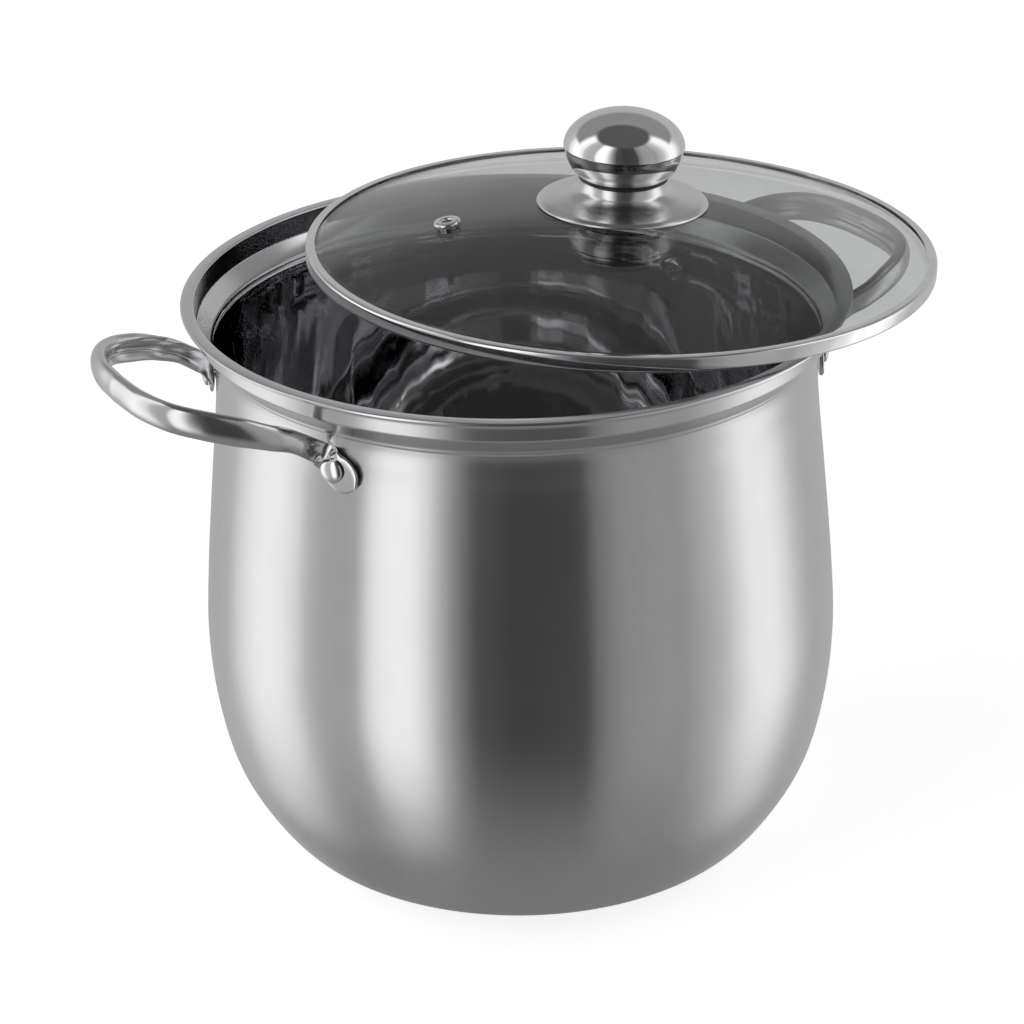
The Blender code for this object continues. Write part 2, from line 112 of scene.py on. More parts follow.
RIM_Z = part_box("pot_body")[1].z
RIM_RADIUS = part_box("pot_body")[1].x
BASE_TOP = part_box("pot_body")[0].z
BASE_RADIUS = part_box("base_cap")[1].x
RIVET_Z = sum(v.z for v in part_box("right_front_rivet")) / 2


def axis_frame(node):
    """Origin on a flat round node's axis, at its lowest face, with Z up along the axis."""
    points = np.array([v.co[:] for v in frame["nodes"][node].data.vertices])
    low, high = points.min(0), points.max(0)
    centre = (low + high) / 2
    normal = np.linalg.svd(points - points.mean(0), full_matrices=False)[2][2]
    z = Vector(normal if normal[2] > 0 else -normal).normalized()
    x = Vector((0, 1, 0)).cross(z).normalized()
    reach = ((points - centre) @ np.array(z)).min()
    turn = Matrix((x, z.cross(x), z)).transposed().to_4x4()
    return Matrix.Translation(Vector(centre) + z * reach) @ turn


# ---------------------------------------------------------------- mesh helpers

def arc(centre_r, centre_z, radius, start, end, steps):
    """Points of a round stretch of an outline, from one angle to another, in degrees."""
    angles = [math.radians(start + (end - start) * i / steps) for i in range(steps + 1)]
    return [(centre_r + radius * math.cos(a), centre_z + radius * math.sin(a)) for a in angles]


def curve_through(points, steps):
    """A Catmull-Rom curve through points of any dimension, with this many steps in each stretch."""
    places = [Vector(p) for p in points]
    ends = [places[0] * 2 - places[1], *places, places[-1] * 2 - places[-2]]
    line = []
    for i in range(len(places) - 1):
        before, start, end, after = ends[i:i + 4]
        for step in range(steps):
            t = step / steps
            line.append(
                start
                + (end - before) * (t / 2)
                + (before * 2 - start * 5 + end * 4 - after) * (t * t / 2)
                + (start * 3 - before - end * 3 + after) * (t ** 3 / 2)
            )
    return [*line, places[-1]]


def smooth(points, steps):
    return [tuple(p) for p in curve_through(points, steps)]


def inset(line, distance):
    """The line moved sideways by this distance, to the left of the way it runs, on the (r, z) plane."""
    moved = []
    for i, (r, z) in enumerate(line):
        before, after = line[max(i - 1, 0)], line[min(i + 1, len(line) - 1)]
        run_r, run_z = after[0] - before[0], after[1] - before[1]
        length = math.hypot(run_r, run_z)
        moved.append((r - run_z / length * distance, z + run_r / length * distance))
    return moved


def finish_piece(name, bm, body, nodes, materials, matrix=None, sharp=40):
    """Makes the bmesh a smooth piece that rides on a body and stands for CAD nodes."""
    bmesh.ops.recalc_face_normals(bm, faces=bm.faces[:])
    mesh = bpy.data.meshes.new(name)
    if matrix is not None:
        bm.transform(matrix)
    bm.to_mesh(mesh)
    bm.free()
    for material in materials:
        mesh.materials.append(material)
    mesh.shade_smooth()
    mesh.set_sharp_from_angle(angle=math.radians(sharp))
    made = bpy.data.objects.new(name, mesh)
    bpy.context.scene.collection.objects.link(made)
    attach(made, body)
    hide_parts(*nodes)
    return made


def turned(name, outline, body, nodes, materials, matrix=None, steps=ROUND, zones=None, sharp=40):
    """A piece turned about Z from a closed outline of (r, z) points. zones gives each edge's material."""
    bm = bmesh.new()
    count = len(outline)
    rings = []
    for r, z in outline:
        if r < 0.001 * MM:
            rings.append([bm.verts.new((0, 0, z))] * steps)
        else:
            turn = [math.tau * i / steps for i in range(steps)]
            rings.append([bm.verts.new((r * math.cos(a), r * math.sin(a), z)) for a in turn])
    for k in range(count):
        here, there = rings[k], rings[(k + 1) % count]
        if here[0] is here[-1] and there[0] is there[-1]:
            continue
        for i in range(steps):
            j = (i + 1) % steps
            corners = []
            for vert in (here[i], there[i], there[j], here[j]):
                if vert not in corners:
                    corners.append(vert)
            face = bm.faces.new(corners)
            face.material_index = zones[k] if zones else 0
    return finish_piece(name, bm, body, nodes, materials, matrix, sharp)


# ---------------------------------------------------------------- node helpers

def new_material(name):
    made = bpy.data.materials.new(name)
    made.use_nodes = True
    tree = made.node_tree
    return made, tree, tree.nodes["Principled BSDF"]


def add(tree, kind, **settings):
    node = tree.nodes.new(kind)
    for key, value in settings.items():
        setattr(node, key, value)
    return node


def math_node(tree, operation, *values):
    node = add(tree, "ShaderNodeMath", operation=operation)
    for i, value in enumerate(values):
        if isinstance(value, (int, float)):
            node.inputs[i].default_value = value
        else:
            tree.links.new(value, node.inputs[i])
    return node.outputs[0]


def noise(tree, vector, scale, detail=4.0, roughness=0.55):
    node = add(tree, "ShaderNodeTexNoise")
    node.inputs["Scale"].default_value = scale
    node.inputs["Detail"].default_value = detail
    node.inputs["Roughness"].default_value = roughness
    tree.links.new(vector, node.inputs["Vector"])
    return node.outputs["Fac"]


def spread(tree, value, low, high):
    """A 0 to 1 value brought into a range."""
    node = add(tree, "ShaderNodeMapRange")
    node.inputs["To Min"].default_value = low
    node.inputs["To Max"].default_value = high
    tree.links.new(value, node.inputs["Value"])
    return node.outputs["Result"]


def object_place(tree):
    return add(tree, "ShaderNodeTexCoord").outputs["Object"]


def mean_of(tree, one, other):
    return math_node(tree, "ADD", math_node(tree, "MULTIPLY", one, 0.5), math_node(tree, "MULTIPLY", other, 0.5))


def turned_coordinates(tree, round_scale, height_scale):
    """Round the axis and along it, stretched so that noise on it makes lines round the piece."""
    split = add(tree, "ShaderNodeSeparateXYZ")
    tree.links.new(object_place(tree), split.inputs[0])
    x, y, z = split.outputs
    x_squared, y_squared = math_node(tree, "MULTIPLY", x, x), math_node(tree, "MULTIPLY", y, y)
    length = math_node(tree, "SQRT", math_node(tree, "ADD", x_squared, y_squared))
    join = add(tree, "ShaderNodeCombineXYZ")
    unit_x = math_node(tree, "DIVIDE", x, length)
    unit_y = math_node(tree, "DIVIDE", y, length)
    tree.links.new(math_node(tree, "MULTIPLY", unit_x, round_scale), join.inputs[0])
    tree.links.new(math_node(tree, "MULTIPLY", unit_y, round_scale), join.inputs[1])
    tree.links.new(math_node(tree, "MULTIPLY", z, height_scale), join.inputs[2])
    return join.outputs[0]


def bump(tree, shader, height, strength, distance):
    node = add(tree, "ShaderNodeBump")
    node.inputs["Strength"].default_value = strength
    node.inputs["Distance"].default_value = distance
    tree.links.new(height, node.inputs["Height"])
    tree.links.new(node.outputs[0], shader.inputs["Normal"])


def ramp_node(tree, value, stops):
    """Greys at places along a 0 to 1 value."""
    node = add(tree, "ShaderNodeValToRGB")
    ramp = node.color_ramp
    ramp.interpolation = "EASE"
    while len(ramp.elements) < len(stops):
        ramp.elements.new(0.5)
    for element, (place, _) in zip(ramp.elements, sorted(stops)):
        element.position = place
    for element, (_, tone) in zip(ramp.elements, sorted(stops)):
        element.color = (tone, tone, tone, 1)
    tree.links.new(value, node.inputs[0])
    return node.outputs[0]


def blend_values(tree, share, value, other):
    """value moved towards a plain other number by this share."""
    moved = math_node(tree, "MULTIPLY", math_node(tree, "SUBTRACT", other, value), share)
    return math_node(tree, "ADD", value, moved)


def shade_range(tree, value, dark, light):
    """A grey between two tones, led by a 0 to 1 value."""
    ramp = add(tree, "ShaderNodeValToRGB")
    ramp.color_ramp.elements[0].position = 0.3
    ramp.color_ramp.elements[1].position = 0.7
    ramp.color_ramp.elements[0].color = (*dark, 1)
    ramp.color_ramp.elements[1].color = (*light, 1)
    tree.links.new(value, ramp.inputs[0])
    return ramp.outputs[0]


# ---------------------------------------------------------------- materials

def satin_steel(name, roughness, dark, light, line_strength=0.25, anisotropy=0.9):
    """Steel brushed round the pot: fine lines in gloss and relief, and slight clouding."""
    made, tree, shader = new_material(name)
    lines = noise(tree, turned_coordinates(tree, 1.2, 2600.0), 1.0, 3.0)
    clouds = noise(tree, turned_coordinates(tree, 3.0, 14.0), 1.0, 5.0)
    tree.links.new(shade_range(tree, clouds, dark, light), shader.inputs["Base Color"])
    gloss = spread(tree, mean_of(tree, lines, clouds), roughness - 0.06, roughness + 0.06)
    tree.links.new(gloss, shader.inputs["Roughness"])
    shader.inputs["Metallic"].default_value = 1.0
    shader.inputs["Anisotropic"].default_value = anisotropy
    shader.inputs["Anisotropic Rotation"].default_value = 0.25
    tangent = add(tree, "ShaderNodeTangent", direction_type="RADIAL", axis="Z")
    tree.links.new(tangent.outputs[0], shader.inputs["Tangent"])
    bump(tree, shader, lines, line_strength, 0.00004)
    return made


def mirror_steel(name, roughness, dark, light):
    """Bright steel that is not quite even, so that what it reflects is drawn out and wavers."""
    made, tree, shader = new_material(name)
    place = object_place(tree)
    waves = noise(tree, turned_coordinates(tree, 6.0, 3.2), 1.0, 1.0, 0.35)
    haze = noise(tree, place, 160.0, 6.0)
    tree.links.new(shade_range(tree, haze, dark, light), shader.inputs["Base Color"])
    tree.links.new(spread(tree, haze, roughness * 0.7, roughness * 1.3), shader.inputs["Roughness"])
    shader.inputs["Metallic"].default_value = 1.0
    bump(tree, shader, waves, 0.35, 1.5 * MM)
    return made


def polished_steel(name, roughness=0.07, tone=0.78):
    """Polished pressed steel with faint rub marks."""
    made, tree, shader = new_material(name)
    place = object_place(tree)
    rub = noise(tree, place, 900.0, 6.0, 0.7)
    cloud = noise(tree, place, 60.0, 3.0)
    dark, light = [(tone * f, tone * f, tone * f * 1.01) for f in (0.93, 1.05)]
    tree.links.new(shade_range(tree, cloud, dark, light), shader.inputs["Base Color"])
    gloss = spread(tree, mean_of(tree, rub, cloud), roughness * 0.6, roughness * 1.6)
    tree.links.new(gloss, shader.inputs["Roughness"])
    shader.inputs["Metallic"].default_value = 1.0
    bump(tree, shader, rub, 0.05, 0.00005)
    return made


def tinted_glass():
    """Clear tempered glass with a faint grey tint, and a trace of smears in its gloss."""
    made, tree, shader = new_material("tinted_glass")
    place = object_place(tree)
    smears = noise(tree, place, 22.0, 5.0)
    tint = shade_range(tree, smears, (0.46, 0.47, 0.47), (0.50, 0.51, 0.51))
    tree.links.new(tint, shader.inputs["Base Color"])
    tree.links.new(spread(tree, smears, 0.0, 0.02), shader.inputs["Roughness"])
    shader.inputs["Transmission Weight"].default_value = 1.0
    shader.inputs["IOR"].default_value = 1.5
    return made


def moulded(name, tone, roughness):
    """Moulded black phenolic or grey silicone, with a fine grain."""
    made, tree, shader = new_material(name)
    place = object_place(tree)
    grain = noise(tree, place, 1500.0, 4.0)
    dark, light = [(tone * f,) * 3 for f in (0.85, 1.15)]
    tree.links.new(shade_range(tree, grain, dark, light), shader.inputs["Base Color"])
    tree.links.new(spread(tree, grain, roughness - 0.08, roughness + 0.08), shader.inputs["Roughness"])
    bump(tree, shader, grain, 0.15, 0.00008)
    return made


def cast_aluminium():
    made, tree, shader = new_material("aluminium")
    place = object_place(tree)
    grain = noise(tree, place, 700.0, 6.0)
    tone = shade_range(tree, grain, (0.70, 0.71, 0.72), (0.80, 0.81, 0.82))
    tree.links.new(tone, shader.inputs["Base Color"])
    tree.links.new(spread(tree, grain, 0.3, 0.5), shader.inputs["Roughness"])
    shader.inputs["Metallic"].default_value = 1.0
    bump(tree, shader, grain, 0.2, 0.0001)
    return made


OUTSIDE = satin_steel("satin_outside", 0.22, (0.62, 0.62, 0.63), (0.68, 0.68, 0.69))
INSIDE = mirror_steel("bright_inside", 0.035, (0.64, 0.64, 0.65), (0.72, 0.72, 0.73))
RIM = satin_steel("rim_steel", 0.17, (0.66, 0.66, 0.67), (0.74, 0.74, 0.75), 0.12, 0.4)
POLISHED = polished_steel("polished_steel", 0.05)
FLARE = satin_steel("brushed_flare", 0.24, (0.70, 0.70, 0.71), (0.76, 0.76, 0.77), 0.2, 0.6)
GRIP_STEEL = polished_steel("grip_steel", 0.14, 0.68)
GLASS = tinted_glass()
BLACK = moulded("black_phenolic", 0.02, 0.34)
SILICONE = moulded("silicone", 0.45, 0.55)
ALUMINIUM = cast_aluminium()


# ---------------------------------------------------------------- the pot

COVE_STEPS = 12                     # of the cove under the lip, which the inner side doesn't have
LEDGE_POINTS = 14                   # of the inner side, on the lid's ledge and the wall above it


def wall_line():
    """Outside of the pot, from the lip's underside down to the middle of the floor."""
    top = RIM_Z
    seat_outer = SEAT_RADIUS + SHEET
    lip_cove = 3.4 * MM
    corner = 2.2 * MM
    step_z = top - 12.0 * MM
    knuckle = 3.0 * MM
    line = arc(seat_outer + lip_cove, top - LIP_THICKNESS - lip_cove, lip_cove, 90, 180, COVE_STEPS)
    line += arc(seat_outer - 0.4 * MM - corner, step_z + corner, corner, 0, -50, 8)
    line += arc(NECK_RADIUS + knuckle, step_z - 7.5 * MM, knuckle, 130, 180, 6)
    belly = [
        (NECK_RADIUS - 0.9 * MM, top - 20.5 * MM),
        (WALL_AT_RIVET + 0.2 * MM, top - 24.5 * MM),
        (WALL_AT_RIVET + 0.15 * MM, top - 31 * MM),
        (WALL_AT_RIVET + 0.25 * MM, top - 41 * MM),
        (WALL_AT_RIVET + 1.6 * MM, top - 58 * MM),
        (WALL_AT_RIVET + 4.6 * MM, top - 88 * MM),
        (BELLY_RADIUS - 1.6 * MM, top - 130 * MM),
        (BELLY_RADIUS, top - 164 * MM),
        (BELLY_RADIUS - 3.0 * MM, top - 197 * MM),
        (BELLY_RADIUS - 10.6 * MM, top - 226 * MM),
        (BELLY_RADIUS - 26.3 * MM, top - 252.5 * MM),
        (FLOOR_RADIUS + 20.0 * MM, BASE_TOP + 1.8 * MM),
        (FLOOR_RADIUS, BASE_TOP),
    ]
    return [*line, *smooth(belly, 8), (0.0, BASE_TOP)]


def build_pot():
    outside = wall_line()
    inside = inset(outside, -SHEET)[1:]
    inside[-1] = (0.0, BASE_TOP + SHEET)
    edge = LIP_THICKNESS / 2
    fillet = 0.8 * MM
    lip = arc(SEAT_RADIUS + fillet, RIM_Z - fillet, fillet, 180, 90, 6)
    lip += arc(RIM_RADIUS - edge, RIM_Z - edge, edge, 90, -90, 12)
    inner = inside[COVE_STEPS:][::-1]
    outline = [*outside, *inner, *lip]
    rim_from = len(outside) + len(inner) - LEDGE_POINTS
    zones = [0] * (len(outside) - 1) + [1] * (rim_from - len(outside) + 1)
    zones += [2] * (len(outline) - rim_from)
    turned("pot_shell", outline, "pot", ["pot_body"], [OUTSIDE, INSIDE, RIM], zones=zones)


def build_base():
    sheet, corner = 0.8 * MM, 1.6 * MM
    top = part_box("base_cap")[1].z
    outer = [(BASE_RADIUS - sheet, top), (BASE_RADIUS, top)]
    outer += arc(BASE_RADIUS - corner, corner, corner, 0, -90, 8)
    rings = []                      # three shallow pressed rings under the base
    for radius in (72.0 * MM, 48.0 * MM, 24.0 * MM):
        rings += [(radius + 0.9 * MM, 0.0), (radius, 0.25 * MM), (radius - 0.9 * MM, 0.0)]
    outline = [*outer, *rings, (0, 0), (0, sheet), (BASE_RADIUS - sheet, sheet)]
    turned("base_cap_shell", outline, "pot", ["base_cap"], [OUTSIDE])


# ---------------------------------------------------------------- handles and rivets

def on_wall(angle, radius, drop):
    return (radius * math.cos(angle), radius * math.sin(angle), RIVET_Z - drop)


EAR_LINE_RADIUS = WALL_AT_RIVET + 1.3 * MM + EAR_THICKNESS / 2


def handle_line(reach, sag, steps):
    """Middle of one handle: up the ear on the wall, out along the arm, round the end, and back."""
    half = [
        on_wall(RIVET_ANGLE + math.radians(4.4), EAR_LINE_RADIUS, 6.6 * MM),
        on_wall(RIVET_ANGLE + math.radians(0.2), EAR_LINE_RADIUS, -0.5 * MM),
        on_wall(RIVET_ANGLE - math.radians(2.0), EAR_LINE_RADIUS, -5.2 * MM),
        on_wall(RIVET_ANGLE - math.radians(3.1), EAR_LINE_RADIUS + 4.0 * MM, -8.8 * MM),
        (141.2 * MM, 57.2 * MM, RIM_Z - 20.0 * MM),
        (152.8 * MM + reach * 0.2, 57.0 * MM, RIM_Z - 15.4 * MM - sag * 0.2),
        (164.8 * MM + reach * 0.4, 53.3 * MM, RIM_Z - 11.4 * MM - sag * 0.4),
        (176.6 * MM + reach * 0.6, 47.2 * MM, RIM_Z - 8.2 * MM - sag * 0.6),
        (186.4 * MM + reach * 0.8, 36.6 * MM, RIM_Z - 6.3 * MM - sag * 0.8),
        (192.2 * MM + reach * 0.95, 19.4 * MM, RIM_Z - 5.4 * MM - sag * 0.95),
        (END_REACH + reach, 0.0, RIM_Z - END_DROP - sag),
    ]
    line = curve_through(half, steps)
    return line + [Vector((p.x, -p.y, p.z)) for p in line[-2::-1]]


def handle_section(distance):
    """Half thickness, half width and depth of the fold's groove, this far along from the ear's end."""
    ear, wide_ear = EAR_THICKNESS / 2, EAR_WIDTH / 2
    if distance < wide_ear:
        return ear, max(math.sqrt(wide_ear ** 2 - (wide_ear - distance) ** 2), wide_ear * 0.12), 0.0
    stations = [
        (wide_ear, ear, wide_ear, 0.0), (16 * MM, ear, wide_ear * 0.94, 0.0),
        (23.5 * MM, 1.3 * MM, 5.0 * MM, 0.0), (34 * MM, 2.6 * MM, 4.8 * MM, 0.5 * MM),
        (47 * MM, 3.3 * MM, 5.6 * MM, 0.9 * MM),
        (65 * MM, GRIP_WIDTH / 2, GRIP_HEIGHT / 2, 1.1 * MM),
    ]
    for (start, *sizes), (end, *next_sizes) in zip(stations, stations[1:]):
        if distance <= end:
            t = (distance - start) / (end - start)
            t = t * t * (3 - 2 * t)
            return [size + (next_size - size) * t for size, next_size in zip(sizes, next_sizes)]
    return GRIP_WIDTH / 2, GRIP_HEIGHT / 2, 1.1 * MM


GROOVE_HALF_ANGLE = 0.20            # of the open fold along a handle's inner side, in radians
LOOP_START = 140.0 * MM             # from the pot's axis: the loop's inner side faces this place


def section_angles(sides):
    """Angles round the section, closer together at the fold, which is on the inner side, at pi."""
    fold = [-1.6, -1.0, -0.75, -0.5, -0.25, 0.0, 0.25, 0.5, 0.75, 1.0, 1.6]
    near = [math.pi + GROOVE_HALF_ANGLE * f for f in fold]
    span = math.tau - (near[-1] - near[0])
    count = sides - len(near)
    far = [near[-1] + span * (i + 1) / (count + 1) for i in range(count)]
    return near + far


def build_handle(side, turn, reach, sag):
    """A folded steel loop: flat round-ended ears, opening into a tall oval grip with a fold inside."""
    line = handle_line(reach, sag, 14)
    angles = section_angles(56)
    travelled = [0.0]
    for before, after in zip(line, line[1:]):
        travelled.append(travelled[-1] + (after - before).length)
    bm = bmesh.new()
    rings = []
    for i, point in enumerate(line):
        run = (line[min(i + 1, len(line) - 1)] - line[max(i - 1, 0)]).normalized()
        out = Vector((-run.y, run.x, 0)).normalized()
        across = run.cross(out)
        outward = 1 if out.dot(Vector((point.x - LOOP_START, point.y, 0))) > 0 else -1
        thick, wide, groove = handle_section(min(travelled[i], travelled[-1] - travelled[i]))
        power = 2 / (2.0 + 2.2 * max(0.0, 1 - thick / (wide * 0.55)))
        ring = []
        for a in angles:
            x = math.copysign(abs(math.cos(a)) ** power, math.cos(a)) * thick
            y = math.copysign(abs(math.sin(a)) ** power, math.sin(a)) * wide
            depth = max(0.0, 1 - (abs(a - math.pi) / GROOVE_HALF_ANGLE) ** 2)
            x += groove * depth ** 0.5
            ring.append(bm.verts.new(point + out * (x * outward) + across * y))
        rings.append(ring)
    for here, there in zip(rings, rings[1:]):
        for j in range(len(angles)):
            bm.faces.new((here[j - 1], here[j], there[j], there[j - 1]))
    bm.faces.new(rings[0][::-1])
    bm.faces.new(rings[-1])
    finish_piece(
        "grip_" + side, bm, "pot", ["handle_" + side], [GRIP_STEEL],
        Matrix.Rotation(turn, 4, "Z"), 50,
    )


def build_rivets():
    head, shank = 5.6 * MM, 2.5 * MM
    inner_face = WALL_AT_RIVET - SHEET - GAP
    outer_face = EAR_LINE_RADIUS + EAR_THICKNESS / 2 + GAP
    edge, inner_dome, outer_dome = 0.5 * MM, 1.3 * MM, 2.2 * MM
    quarter = [math.radians(90 * i / 12) for i in range(13)]
    outer = [(head * math.cos(a), outer_face + edge + outer_dome * math.sin(a)) for a in quarter]
    inner = [(head * math.cos(a), inner_face - edge - inner_dome * math.sin(a)) for a in quarter]
    outline = [*outer[::-1], (head, outer_face), (shank, outer_face), (shank, inner_face), (head, inner_face)]
    outline += inner
    for side in ("left", "right"):
        for end in ("front", "back"):
            node = f"{side}_{end}_rivet"
            low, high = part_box(node)
            centre = (low + high) / 2
            way = Vector((centre.x, centre.y, 0)).normalized()
            x = Vector((0, 0, 1)).cross(way)
            facing = Matrix((x, way.cross(x), way)).transposed().to_4x4()
            place = Matrix.Translation((0, 0, RIVET_Z)) @ facing
            turned(node + "_head", outline, "pot", [node], [POLISHED], place, SMALL_ROUND)


# ---------------------------------------------------------------- the lid

LID = axis_frame("lid_band")
LID_RADIUS = (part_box("lid_band")[1].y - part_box("lid_band")[0].y) / 2
BAND_HEIGHT = 7.0 * MM
GLASS_RADIUS = LID_RADIUS - BAND_SHEET - GAP
GLASS_EDGE_TOP = BAND_HEIGHT - BAND_SHEET - GAP
DOME_RADIUS = LID_RADIUS - BAND_FLANGE - 0.6 * MM


def glass_height(radius):
    """Top of the glass at this distance from the lid's middle."""
    ball = (DOME_RADIUS ** 2 + GLASS_RISE ** 2) / (2 * GLASS_RISE)
    return GLASS_EDGE_TOP + GLASS_RISE - (ball - math.sqrt(ball ** 2 - radius ** 2))


def build_glass():
    hole = 4.0 * MM
    rings = [hole + (DOME_RADIUS - hole) * i / 60 for i in range(61)]
    top = [(r, glass_height(r)) for r in rings]
    below = GLASS_EDGE_TOP - GLASS_THICKNESS
    bevel = 0.6 * MM
    edge = [(GLASS_RADIUS - bevel, GLASS_EDGE_TOP), (GLASS_RADIUS, GLASS_EDGE_TOP - bevel)]
    edge += [(GLASS_RADIUS, below + bevel), (GLASS_RADIUS - bevel, below)]
    under = [(r, z - GLASS_THICKNESS) for r, z in top[::-1]]
    turned("glass_dome", [*top, *edge, *under], "lid", ["lid_glass"], [GLASS], LID)


def build_band():
    corner, thin = 1.4 * MM, BAND_SHEET
    outer = [(LID_RADIUS - BAND_FLANGE, BAND_HEIGHT)]
    outer += arc(LID_RADIUS - corner, BAND_HEIGHT - corner, corner, 90, 0, 8)
    outer += arc(LID_RADIUS - corner, corner, corner, 0, -90, 8)
    outer += [(LID_RADIUS - BAND_FOLD, 0), (LID_RADIUS - BAND_FOLD, thin)]
    inner = arc(LID_RADIUS - corner, corner, corner - thin, -90, 0, 4)
    inner += arc(LID_RADIUS - corner, BAND_HEIGHT - corner, corner - thin, 0, 90, 4)
    inner += [(LID_RADIUS - BAND_FLANGE, BAND_HEIGHT - thin)]
    turned("band_ring", [*outer, *inner], "lid", ["lid_band"], [POLISHED], LID)


def build_vent():
    collar = axis_frame("vent_collar")
    place = collar @ Matrix.Translation((0, 0, GLASS_THICKNESS + 1.6 * MM))
    flange, bore, tube = 6.2 * MM, 2.4 * MM, 4.0 * MM
    lift = 1.2 * MM
    foot = -GLASS_THICKNESS - 4.0 * MM
    top = arc(bore + 1.0 * MM, lift + 0.2 * MM, 1.0 * MM, 180, 90, 6)
    top += arc(flange - 1.0 * MM, lift + 0.1 * MM, 1.0 * MM, 80, 0, 6)
    side = [(flange, lift), (tube, lift), (tube, foot), (bore, foot)]
    turned("vent_tube", [*top, *side], "lid", ["vent_eyelet"], [POLISHED], place, SMALL_ROUND)


def knob_pieces():
    knob_radius, foot_radius, waist = 27.5 * MM, 39.0 * MM, 20.6 * MM
    waist_z, seam, height = 12.6 * MM, 26.4 * MM, 43.4 * MM
    sheet, shelf = 0.9 * MM, 4.0 * MM
    place = LID @ Matrix.Translation((0, 0, glass_height(foot_radius) + GAP))
    neck = waist - 1.6 * MM
    top_z = waist_z - 1.2 * MM
    flare = smooth([
        (neck - 0.1 * MM, top_z - 0.5 * MM), (neck + 0.2 * MM, 9.4 * MM), (neck + 1.7 * MM, 6.6 * MM),
        (neck + 5.6 * MM, 4.6 * MM), (neck + 12.0 * MM, 3.4 * MM), (foot_radius - 2.8 * MM, 2.4 * MM),
        (foot_radius - 0.7 * MM, 1.3 * MM), (foot_radius, 0.5 * MM),
    ], 8)
    under = inset(flare, -sheet)[:-8]
    under[0] = (neck - sheet, top_z - sheet)
    outline = [(shelf, top_z), (neck - 0.6 * MM, top_z), *flare, (foot_radius - 0.2 * MM, 0.15 * MM)]
    outline += [(foot_radius - 0.8 * MM, 0.1 * MM), *under[::-1], (shelf, top_z - sheet)]
    turned("knob_flare", outline, "lid", ["knob_foot"], [FLARE], place, KNOB_ROUND)

    ring_low, ring_high = top_z + GAP, waist_z + 0.6 * MM
    outer = waist - 0.3 * MM
    ring = [(shelf, ring_high), (outer - 0.3 * MM, ring_high), (outer, ring_high - 0.3 * MM),
            (outer, ring_low + 0.3 * MM), (outer - 0.3 * MM, ring_low), (shelf, ring_low)]
    turned("knob_ring", ring, "lid", ["knob_spacer_ring"], [BLACK], place, 96)

    bowl_floor = ring_high + GAP
    bowl = smooth([
        (knob_radius - 0.4 * MM, seam - GAP), (knob_radius - 1.3 * MM, seam - 4.4 * MM),
        (knob_radius - 3.7 * MM, seam - 9.4 * MM), (waist, bowl_floor),
    ], 10)
    within = inset(bowl, -sheet)
    within[0] = (bowl[0][0] - sheet, bowl[0][1])
    within[-1] = (bowl[-1][0] - sheet, bowl_floor + sheet)
    outline = [*bowl, (shelf, bowl_floor), (shelf, bowl_floor + sheet), *within[::-1]]
    turned("knob_cup", outline, "lid", ["knob_bowl"], [POLISHED], place, KNOB_ROUND)

    widest = seam + GAP
    rise = height - widest
    angles = [math.radians(90 - 90 * i / 32) for i in range(33)]
    dome = [(knob_radius * math.cos(a), widest + rise * math.sin(a)) for a in angles]
    hollow = [((knob_radius - sheet) * math.cos(a), widest + (rise - sheet) * math.sin(a)) for a in angles]
    lip = [(knob_radius - 0.3 * MM, seam), (knob_radius - 0.3 * MM - sheet, seam)]
    outline = [*dome, *lip, *hollow[::-1]]
    turned("knob_top", outline, "lid", ["knob_dome"], [POLISHED], place, KNOB_ROUND)


def carried_nodes():
    """CAD nodes that are kept as they are, given their finish."""
    finishes = {
        "base_core_disc": ALUMINIUM, "vent_gasket": SILICONE, "vent_collar": POLISHED, "knob_core": BLACK,
        "glass_gasket": SILICONE, "glass_washer": SILICONE, "screw_washer": POLISHED,
        "lock_washer": POLISHED, "knob_screw": POLISHED,
    }
    for node, material in finishes.items():
        mesh = frame["nodes"][node].data
        mesh.materials.clear()
        mesh.materials.append(material)
        mesh.shade_smooth()
        mesh.set_sharp_from_angle(angle=math.radians(30))


# ---------------------------------------------------------------- floor, light and camera

def floor():
    size = 12.0
    mesh = bpy.data.meshes.new("floor")
    corners = [(-size, -size, 0), (size, -size, 0), (size, size, 0), (-size, size, 0)]
    mesh.from_pydata(corners, [], [(0, 1, 2, 3)])
    made, tree, shader = new_material("pale_floor")
    shader.inputs["Base Color"].default_value = (0.86, 0.86, 0.86, 1)
    shader.inputs["Roughness"].default_value = 0.9
    shader.inputs["Specular IOR Level"].default_value = 0.0
    shader.inputs["Emission Color"].default_value = (1, 1, 1, 1)
    shader.inputs["Emission Strength"].default_value = 0.70
    mesh.materials.append(made)
    plane = bpy.data.objects.new("floor", mesh)
    plane.location.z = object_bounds()[0].z - 0.0002
    plane.visible_glossy = False
    plane.visible_shadow = False
    bpy.context.scene.collection.objects.link(plane)
    plane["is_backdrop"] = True


# Brightness of the studio round the object, by the bearing from the camera's side, in degrees
STUDIO = [
    (-180, 0.50), (-150, 0.52), (-131, 0.60), (-121, 1.02), (-110, 1.28), (-98, 1.30), (-89, 1.08),
    (-82, 0.62), (-74, 0.52), (-61, 0.50), (-54.5, 1.22), (-49, 1.38), (-40, 1.38), (-34, 1.05),
    (-28, 0.56), (-22, 0.26),
    (-16, 0.09), (0, 0.06), (23, 0.07), (28, 0.25), (38, 0.38), (53, 0.42), (60, 0.39), (66, 0.50),
    (76, 0.64), (84, 0.94), (91, 1.24), (103, 1.28), (111, 1.08), (119, 0.72), (129, 0.54), (180, 0.50),
]
STUDIO_BEHIND = 0.30                # the back wall, well above the horizon
STUDIO_CEILING = 0.11
STUDIO_FLOOR = 0.27


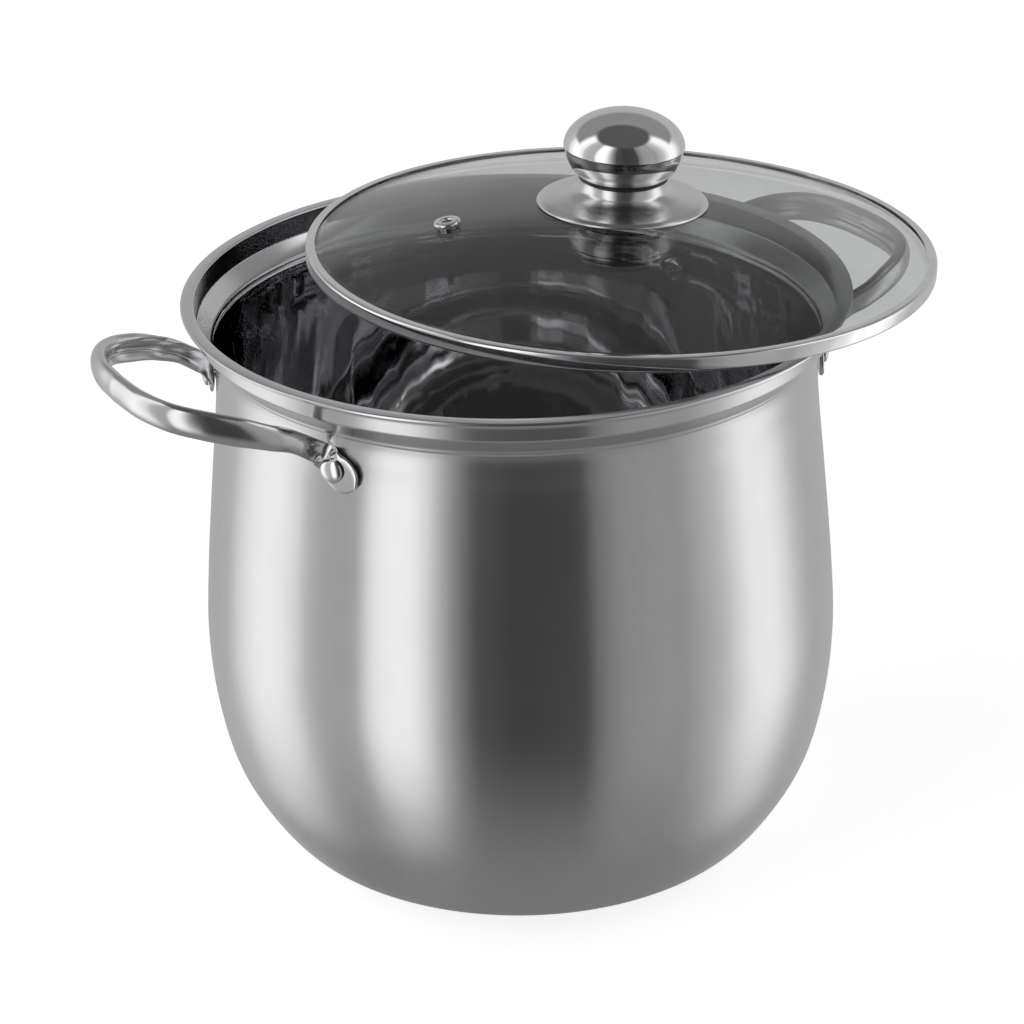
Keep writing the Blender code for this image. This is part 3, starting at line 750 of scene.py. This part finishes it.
def behind_share(tree, x, y, z):
    """How far a direction points at the upper back wall: 0 or less in front or near the horizon."""
    away_x = math_node(tree, "MULTIPLY", x, -math.sin(VIEW_AZIMUTH))
    away = math_node(tree, "MULTIPLY_ADD", y, math.cos(VIEW_AZIMUTH), away_x)
    behind = math_node(tree, "MULTIPLY", math_node(tree, "SUBTRACT", away, 0.15), 2.5)
    above = math_node(tree, "MULTIPLY", math_node(tree, "SUBTRACT", z, 0.34), 4.0)
    return math_node(tree, "MINIMUM", behind, above)


def world():
    """A soft studio: upright light panels all round, a dim ceiling, and a grey floor for what is mirrored."""
    made = bpy.data.worlds.new("studio")
    bpy.context.scene.world = made
    made.use_nodes = True
    tree = made.node_tree
    back = tree.nodes["Background"]
    split = add(tree, "ShaderNodeSeparateXYZ")
    tree.links.new(add(tree, "ShaderNodeTexCoord").outputs["Generated"], split.inputs[0])
    x, y, z = split.outputs
    bearing = math_node(tree, "ARCTAN2", x, math_node(tree, "MULTIPLY", y, -1.0))
    turn = math_node(tree, "MULTIPLY_ADD", bearing, 1 / math.tau, 0.5 - VIEW_AZIMUTH / math.tau)
    round_tone = ramp_node(tree, math_node(tree, "FRACT", turn), [(p / 360 + 0.5, v) for p, v in STUDIO])
    height = math_node(tree, "MULTIPLY_ADD", z, 0.5, 0.5)
    to_top = ramp_node(tree, height, [(0.90, 0.0), (0.935, 1.0)])
    to_bottom = ramp_node(tree, height, [(0.06, 1.0), (0.27, 0.0)])
    behind = ramp_node(tree, behind_share(tree, x, y, z), [(0.0, 0.0), (0.5, 1.0)])
    level = blend_values(tree, behind, round_tone, STUDIO_BEHIND)
    level = blend_values(tree, to_top, level, STUDIO_CEILING)
    level = blend_values(tree, to_bottom, level, STUDIO_FLOOR)
    tree.links.new(level, back.inputs["Color"])


def camera():
    data = bpy.data.cameras.new("camera")
    data.lens = VIEW_LENS
    data.sensor_width = 36.0
    data.shift_x = VIEW_SHIFT
    data.clip_start, data.clip_end = 0.05, 60.0
    made = bpy.data.objects.new("camera", data)
    a, e = VIEW_AZIMUTH, VIEW_RISE
    back = Vector((math.sin(a) * math.cos(e), -math.cos(a) * math.cos(e), math.sin(e)))
    made.location = Vector((0, 0, RIM_Z)) + back * (VIEW_DISTANCE * RIM_RADIUS)
    level = math.cos(VIEW_PITCH)
    look = Vector((-math.sin(a) * level, math.cos(a) * level, -math.sin(VIEW_PITCH)))
    roll = Matrix.Rotation(VIEW_ROLL, 4, "Z").to_quaternion()
    made.rotation_mode = "QUATERNION"
    made.rotation_quaternion = look.to_track_quat("-Z", "Y") @ roll
    bpy.context.scene.collection.objects.link(made)
    bpy.context.scene.camera = made
    bpy.context.scene.view_settings.view_transform = "Standard"
    bpy.context.scene.cycles.glossy_bounces = 10


build_pot()
build_base()
build_handle("right", 0.0, *RIGHT_BEND)
build_handle("left", math.pi, *LEFT_BEND)
build_rivets()
build_glass()
build_band()
build_vent()
knob_pieces()
carried_nodes()
floor()
world()
camera()
